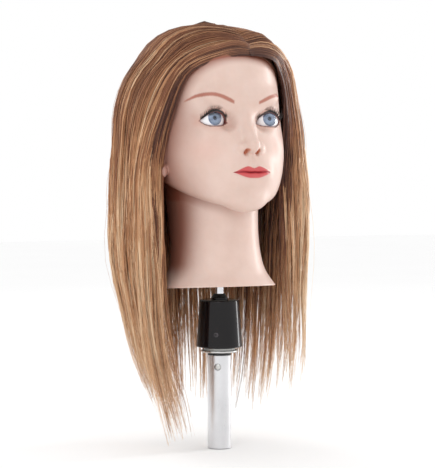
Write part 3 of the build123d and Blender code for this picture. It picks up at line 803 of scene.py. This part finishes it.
# (height, angle) of the edge of the scalp round the skull, from +X
HAIRLINE_ANGLE = np.array([
    (300.0, -12.0), (317.0, -15.0), (342.0, -24.7), (367.0, -32.0), (390.0, -40.0), (405.0, -56.0),
    (411.0, -75.0), (414.0, -90.0),
])
# the lowest ends of the hair from the front edge to the middle of the back
TIP_AT = (0.0, 0.15, 0.3, 0.45, 0.6, 0.8, 1.0)
TIPS = {1: (58, 52, 36, 26, 26, 38, 44), -1: (7, 10, 30, 44, 52, 44, 36)}
# tone of each side, and how much painted shade darkens its innermost strands, in the fringe and elsewhere
TONES = {1: (0.44, 0.62, 0.72), -1: (0.32, 0.38, 0.40)}
# places along a strand, closest together in the first ARC of it, where it bends over the head
ARC = 0.40
ALONG = np.concatenate([np.linspace(0, ARC, 14), np.linspace(ARC, 1, 11)[1:]])
STEPS = len(ALONG)
# (y, height) of the parting
PARTING = np.array([
    (-50.0, 409.0), (-34.0, 424.0), (-16.0, 433.0), (3.0, CROWN_Z), (49.0, CROWN_Z), (66.0, 433.0),
])
# the sheet of hair along the face, inside and outside, as (share of the strand, x, y, height) down to HANG_Z
FRONT_INNER = np.array([
    (0.0, -2, -50.5, 409), (0.07, 15, -49.5, 408.5), (0.15, 36, -43, 402.5), (0.24, 54.5, -31.5, 388),
    (0.32, 63, -23.5, 363), (ARC, 69, -14.5, HANG_Z),
])
FRONT_OUTER = np.array([
    (0.0, -3, -45, 421), (0.07, 16, -46, 425), (0.15, 42, -42, 418), (0.24, 66, -32, 398),
    (0.32, 80, -21, 368), (ARC, 93, -13, HANG_Z),
])
# and (height, x, y) from there down
FALL_INNER = np.array([
    (4, 46, -12), (40, 54, -12), (110, 68, -12), (190, 71.5, -10), (250, 71.5, -9), (305, 71.5, -10.5),
    (HANG_Z, 69, -14.5),
])
FALL_OUTER = np.array([
    (4, 66, -16), (40, 77, -15), (110, 94, -14), (190, 101, -12), (250, 103, -12), (300, 100, -10),
    (HANG_Z, 93, -13),
])


def hanging(side, s, q, z):
    """x and y at height z. s goes from the front edge to mid back, q from inside to outside."""
    angle = np.radians(FRONT_ANGLE + (90 - FRONT_ANGLE) * s)
    xi, yi = on_section(CURTAIN_INNER if side > 0 else GATHERED_INNER, z, angle)
    xo, yo = on_section(CURTAIN_OUTER if side > 0 else GATHERED_OUTER, z, angle)
    hug = smooth_step(0.16, 0.0, s) * smooth_step(255.0, 290.0, z)
    xi = xi * (1 - hug) + np.minimum(xi, 69.5) * hug
    return side * (xi + (xo - xi) * q), yi + (yo - yi) * q


def round_skull(s, z, grow=0.0):
    """x and y on the scalp, for s from the hairline to the middle of the back."""
    low = np.radians(np.interp(z, HAIRLINE_ANGLE[:, 0], HAIRLINE_ANGLE[:, 1]))
    angle = low + (math.pi / 2 - low) * s
    return on_section(SKULL, z, angle, grow), angle


def front_guide(side, q, tip):
    """The sheet of hair along the face, for strands of depth q, ending at height tip."""
    share = np.minimum(ALONG, ARC)
    over = [np.stack([spline(g, c, share) for c in (1, 2, 3)], 1)[None] for g in (FRONT_INNER, FRONT_OUTER)]
    z = HANG_Z - (HANG_Z - tip)[:, None] * np.clip((ALONG - ARC) / (1 - ARC), 0, 1)[None]
    fall = [np.stack([spline(g, 1, z), spline(g, 2, z), z], 2) for g in (FALL_INNER, FALL_OUTER)]
    hang = (ALONG > ARC)[None, :, None]
    inner, outer = (np.where(hang, f, o) for f, o in zip(fall, over))
    path = inner + (outer - inner) * q[:, None, None]
    path[:, :, 0] *= side
    if side > 0:
        z = path[:, :, 2]
        path[:, :, 0] *= 1 + 0.2 * smooth_step(160.0, 14.0, z)
        path[:, :, 1] -= 4.0 * smooth_step(420.0, 400.0, z) * smooth_step(300.0, 340.0, z)
    return path


def hair_paths(side, s, root_z, from_parting, q, tip):
    """Centre lines of strands, (n, STEPS, 3). All arguments but side hold one value for each strand."""
    n = len(s)
    y0 = -50.0 + 105.5 * s**0.85
    z0 = np.interp(y0, PARTING[:, 0], PARTING[:, 1])
    (xr, yr), _ = round_skull(s, root_z, 0.3)
    x0 = np.where(from_parting, side * -1.2 + 3.5 * smooth_step(-50, 40, y0), side * xr)
    y0 = np.where(from_parting, y0, yr)
    z0 = np.where(from_parting, z0, root_z)
    lift = np.where(from_parting, 1.5 + 5.5 * q, 0.0) * smooth_step(0.0, 0.10, s)

    # over the head, on an arch that starts along the parting and ends hanging
    x1, y1 = hanging(side, s, q, np.full(n, HANG_Z))
    t = ALONG[None]
    tau = np.clip(t / ARC, 0, 1) * (math.pi / 2)
    lean = (1.0 + 0.85 * smooth_step(0.22, 0.0, s))[:, None]
    x = x0[:, None] + (x1 - x0)[:, None] * np.sin(tau)
    y = y0[:, None] + (y1 - y0)[:, None] * np.sin(tau) ** lean
    z = HANG_Z + (z0 - HANG_Z)[:, None] * np.cos(tau) ** 0.92 + lift[:, None] * np.sin(2 * tau)

    # and straight down from there
    zh = HANG_Z - (HANG_Z - tip)[:, None] * np.clip((t - ARC) / (1 - ARC), 0, 1)
    xh, yh = hanging(side, np.repeat(s[:, None], STEPS, 1), np.repeat(q[:, None], STEPS, 1), zh)
    path = np.where((t > ARC)[:, :, None], np.stack([xh, yh, zh], 2), np.stack([x, y, z], 2))
    front = (smooth_step(0.26, 0.0, s) * from_parting)[:, None, None]
    return path + (front_guide(side, q, tip) - path) * front


def pushed_out(path, margin):
    """Strands moved out of the skull, to stand margin off it."""
    flat = path.reshape(-1, 3).copy()
    room = margin.ravel()

    def distance(p):
        return np.maximum(sections(SKULL, p.T), p[:, 2] - CROWN_Z)

    for _ in range(4):
        near = np.flatnonzero(flat[:, 2] > SKULL[0, 0])
        p = flat[near]
        slope = np.stack([(distance(p + e) - distance(p - e)) / 2.0 for e in np.eye(3)], 1)
        size = np.maximum((slope**2).sum(1), 0.1)
        step = np.clip(room[near] - distance(p), 0, 6.0) / size
        flat[near] = p + slope * step[:, None]
    return flat.reshape(path.shape)


def off_centre(path, q):
    """Shifts the parting's front to the head's left and raises the crown, most for outer strands."""
    x, y, z = (path[:, :, i] for i in range(3))
    shift = 10.0 * smooth_step(-2.0, -38.0, y) * smooth_step(388.0, 412.0, z)
    shift = shift * smooth_step(66.0, 26.0, np.abs(x))
    rise = (1.0 + 4.8 * q[:, None]) * smooth_step(402.0, 440.0, z) * smooth_step(-44.0, -20.0, y)
    return np.stack([x + shift, y, z + rise], 2)


def wander(rng, n, waves, amount):
    """Smooth sideways noise along n strands, (n, STEPS, 2)."""
    t = ALONG[None, :, None]
    total = 0
    for w in waves:
        phase = rng.uniform(0, 2 * math.pi, (n, 1, 2))
        total = total + np.sin(2 * math.pi * w * t * rng.uniform(0.8, 1.2, (n, 1, 2)) + phase) / w**0.7
    return amount * total * smooth_step(0.05, 0.5, t)


def per_strand(values):
    return np.repeat(values, PER_CLUMP, 0)


def plan_clumps(rng, side):
    """Each clump's place round the head, depth, heights of root and tip, and whether it is combed from the
    parting and is in the fringe."""
    s = (np.arange(CLUMPS) + rng.uniform(0, 1, CLUMPS)) / CLUMPS
    rng.shuffle(s)
    fringe = np.arange(CLUMPS) < FRINGE_CLUMPS
    s = np.where(fringe, 0.10 * rng.uniform(0, 1, CLUMPS) ** 1.3, s)
    parting = (rng.uniform(0, 1, CLUMPS) < 0.62) | fringe
    depth = rng.uniform(0, 1, CLUMPS)
    q = np.where(parting, 0.42 + 0.58 * depth**0.6, 0.02 + 0.5 * depth)
    q = np.where(fringe, 0.55 * depth, q)
    root = np.where(parting, ROOT_HIGH, 338.0 + 88.0 * depth)
    tip = np.interp(s, TIP_AT, TIPS[side]) + 162.0 * rng.uniform(0, 1, CLUMPS) ** 1.25 + 8.0 * (1 - q)
    return s, q, root, tip, parting, fringe


def comb_strands(rng, side, s_c, q_c, root_c, tip_c, parting):
    """Centre lines and depths of strands that draw in to their clumps as they fall, and which are loose."""
    n = CLUMPS * PER_CLUMP
    guide = hair_paths(side, s_c, root_c, parting, q_c, tip_c)
    guide[:, :, :2] += wander(rng, CLUMPS, (0.8, 1.7), 2.2)
    s = np.clip(per_strand(s_c) + rng.normal(0, 0.012, n), 0.0, 1.0)
    q = np.clip(per_strand(q_c) + rng.normal(0, 0.07, n), 0.0, 1.0)
    root = np.clip(per_strand(root_c) + rng.normal(0, 4, n), ROOT_LOW, ROOT_HIGH)
    tip = np.maximum(per_strand(tip_c) + 34.0 * rng.uniform(0, 1, n) ** 1.5 - 4.0, 6.0)
    own = hair_paths(side, s, root, per_strand(parting), q, tip)

    t = ALONG[None, :, None]
    shift = (per_strand(guide) - own)[:, :, :2] * 0.86 * smooth_step(0.30, 1.0, t)
    sway = per_strand(wander(rng, CLUMPS, (0.9, 2.1), 1.6))
    own[:, :, :2] += shift + sway + wander(rng, n, (1.3, 2.9), 0.55)
    own[:, :, 2] += wander(rng, n, (2.0,), 0.8)[:, :, 0] * (1 - t[:, :, 0])

    loose = rng.uniform(0, 1, n) < 0.045
    own[loose, :, :2] += wander(rng, int(loose.sum()), (1.1, 2.6), 2.6)
    spread = 1 + 0.055 * rng.uniform(0, 1, (int(loose.sum()), 1, 1)) * smooth_step(0.2, 0.9, t)
    middle = (0, 20)
    own[loose, :, :2] = (own[loose, :, :2] - middle) * spread + middle

    layer = 9.0 * q * per_strand(parting) + rng.uniform(0, 1.0, n)
    layer = layer[:, None] * smooth_step(0.0, 0.10, ALONG[None]) * smooth_step(0.0, 0.08, s)[:, None]
    own = off_centre(pushed_out(own, 2.4 + layer), q)
    own[:, :, 2] = np.clip(own[:, :, 2], 5.0, 455.0)
    return own, q, loose


def strand_tones(rng, side, q, fringe):
    """Darker at the root, lighter at the tip, painted shade on inner strands, a light clump here and there.
    """
    base, fringe_shade, dark = TONES[side]
    t = ALONG[None]
    random_tone = per_strand(rng.normal(0, 0.13, CLUMPS)) + rng.normal(0, 0.17, len(q))
    streak = per_strand((rng.uniform(0, 1, CLUMPS) < 0.22) * 0.22)
    # painted shade: the inner strands, hanging in shade between the face and the outer hair, are made
    # darker, less so at their tips
    inner = (np.where(fringe, fringe_shade, dark) * (1 - q))[:, None] * (1 - 0.45 * smooth_step(0.6, 1.0, t))
    tone = base + 0.50 * smooth_step(0.05, 0.9, t) + (random_tone + streak)[:, None] - inner
    return np.clip(tone - 0.14 * smooth_step(0.14, 0.0, t), 0, 1)


def make_hair(side, material):
    rng = np.random.default_rng(SEED + (1 if side > 0 else 2))
    *clumps, fringe = plan_clumps(rng, side)
    paths, q, loose = comb_strands(rng, side, *clumps)
    t = ALONG[None]
    thick = (rng.uniform(0.24, 0.40, len(q)) * np.where(loose, 0.6, 1.0))[:, None]
    radii = thick * (0.75 + 0.25 * smooth_step(0, 0.2, t)) * (1 - 0.8 * smooth_step(0.6, 1.0, t) ** 1.3)
    tone = strand_tones(rng, side, q, per_strand(fringe))
    outward = paths - (0, 20, 0)
    outward[:, :, 2] = 40.0
    s = per_strand(clumps[0])
    for i, name in enumerate(LOCK_NAMES):
        mine = (s >= LOCK_SHARES[i]) & (s < LOCK_SHARES[i + 1] + (i == 3))
        label = ("left_" if side > 0 else "right_") + name
        ob = tubes("hair_" + label, paths[mine], radii[mine], outward[mine], [("tone", tone[mine])])
        ob.data.materials.append(material)
        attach(ob, "head")
        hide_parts(label + "_lock")


def make_cap(side, material):
    """The dark underlayer of the hair, close over one half of the scalp."""
    label = "left" if side > 0 else "right"
    rows, columns = 60, 60
    low, high = HANG_Z - 18, 439.6
    s = np.linspace(0, 1, columns)[None, :].repeat(rows, 0)
    z = (low + (high - low) * np.linspace(0, 1, rows) ** 0.85)[:, None].repeat(columns, 1)
    grow = 0.5 + 3.0 * smooth_step(0.0, 0.2, s) * smooth_step(425, 385, z)
    (x, y), angle = round_skull(s, z)
    x, y = x + grow * np.cos(angle), y + grow * np.sin(angle)
    points = np.stack([side * x, y, z + 0.2], 2).reshape(-1, 3)
    index = np.arange(rows * columns).reshape(rows, columns)
    quads = np.stack([index[:-1, :-1], index[:-1, 1:], index[1:, 1:], index[1:, :-1]], -1)
    quads = quads.reshape(-1, 4)
    if side < 0:
        quads = quads[:, ::-1]
    ob = quad_object("hair_cap_" + label, points, quads)
    solid = ob.modifiers.new("thickness", "SOLIDIFY")
    solid.thickness = 0.0005
    solid.offset = -1
    ob.data.materials.append(material)
    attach(ob, "head")
    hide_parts(label + "_crown_hair")


# ---------------------------------------------------------------- the holder and the inside


def dress_holder():
    gloss = plastic_look("gloss_black", (9, 6, 8), (17, 12, 14), (0.12, 0.2), 260.0, 0.02, 0.1, 0.28)
    matt = plastic_look("matt_black", (24, 24, 26), (38, 38, 40), (0.45, 0.6))
    pale = plastic_look("pale_nylon", (206, 206, 202), (224, 224, 220), (0.35, 0.5))
    white = plastic_look("white_plastic", (214, 210, 200), (228, 224, 214), (0.45, 0.6), 300.0, 0.2)
    foam = plastic_look("core_foam", (214, 198, 160), (232, 218, 184), (0.8, 0.95), 420.0, 0.8)
    tube = metal_look("brushed_tube", (212, 212, 214), (226, 226, 228), (0.26, 0.38), (1.0, 1.0, 0.04))
    zinc = metal_look("zinc_plate", (196, 196, 196), (218, 217, 212), (0.2, 0.34), (1.0, 1.0, 3.0), 300.0)
    chrome = metal_look("chrome_plate", (218, 218, 222), (230, 230, 232), (0.05, 0.12), (1.0, 1.0, 6.0),
                        200.0, 0.05)
    dark = metal_look("black_steel", (78, 74, 76), (104, 100, 102), (0.3, 0.45), (1.0, 1.0, 1.0), 500.0)
    for node, material in (
        ("pole_tube", tube), ("pole_plug", matt), ("plug_screws", zinc), ("flange_washer", zinc),
        ("thrust_washer", pale), ("pivot_bolt", zinc), ("pivot_washer", zinc), ("pivot_nut", zinc),
        ("holder_cone", gloss), ("cone_grub_screw", dark), ("spigot_rod", chrome), ("spigot_collar", gloss),
        ("neck_plate", white), ("neck_socket", white), ("foam_core", foam),
    ):
        dress(node, material)
    eye, iris, clear = eye_white_look(), iris_look(), cornea_look()
    for side in ("left", "right"):
        dress(side + "_eyeball", eye)
        dress(side + "_iris", iris)
        dress(side + "_cornea", clear)


# ---------------------------------------------------------------- the studio

CAMERA_AZIMUTH, CAMERA_DISTANCE, CAMERA_HEIGHT = math.radians(-29.0), 2.0, 0.285
CAMERA_AIM, AIM_HEIGHT = -0.002, 0.225  # to the right of the pole's axis, and above the floor
LENS, SENSOR = 146.5, 36.0
FLOOR_SIZE, FLOOR_GAP = 12.0, 0.0006


def aim(ob, target):
    ob.rotation_euler = (Vector(target) - ob.location).to_track_quat("-Z", "Y").to_euler()


def soft_light(name, place, target, size, power):
    lamp = bpy.data.lights.new(name, "AREA")
    lamp.shape, lamp.size, lamp.size_y = "RECTANGLE", size[0], size[1]
    lamp.energy = power
    ob = bpy.data.objects.new(name, lamp)
    bpy.context.scene.collection.objects.link(ob)
    ob.location = place
    aim(ob, target)


def make_floor():
    bpy.ops.mesh.primitive_plane_add(size=FLOOR_SIZE, location=(0, 0, -FLOOR_GAP))
    floor = bpy.context.object
    floor.name = "studio_floor"
    k = Look("studio_floor")
    k.set(Base_Color=k.ramp(k.noise(3.0, 2.0), [(0.3, grey(0.965)), (0.7, grey(0.975))]), Roughness=0.9)
    floor.data.materials.append(k.material)


def make_camera():
    back = Vector((math.sin(CAMERA_AZIMUTH), -math.cos(CAMERA_AZIMUTH), 0))
    right = Vector((math.cos(CAMERA_AZIMUTH), math.sin(CAMERA_AZIMUTH), 0))
    camera = bpy.data.objects.new("camera", bpy.data.cameras.new("camera"))
    bpy.context.scene.collection.objects.link(camera)
    camera.data.sensor_width = SENSOR
    camera.data.lens = LENS
    camera.location = back * CAMERA_DISTANCE + Vector((0, 0, CAMERA_HEIGHT))
    aim(camera, right * CAMERA_AIM + Vector((0, 0, AIM_HEIGHT)))
    bpy.context.scene.camera = camera


def make_studio():
    scene = bpy.context.scene
    scene.view_settings.view_transform = "Standard"
    world = bpy.data.worlds.new("studio")
    world.use_nodes = True
    background = world.node_tree.nodes["Background"]
    background.inputs["Color"].default_value = grey(1.0)
    background.inputs["Strength"].default_value = 1.0
    scene.world = world
    make_floor()
    soft_light("key", (-1.6, -1.9, 1.3), (0, 0, 0.30), (1.2, 1.2), 7.0)
    soft_light("side", (2.0, 0.0, 0.45), (0, 0, 0.28), (0.5, 1.3), 16.0)
    soft_light("back", (-0.4, 1.8, 1.4), (0, 0, 0.35), (1.4, 0.8), 6.0)
    make_camera()


make_studio()
dress_holder()
make_head()
lash_material, hair_material, cap_material = lash_look(), hair_look(), cap_look()
for side in (1, -1):
    make_lashes(side, lash_material)
    make_cap(side, cap_material)
    make_hair(side, hair_material)
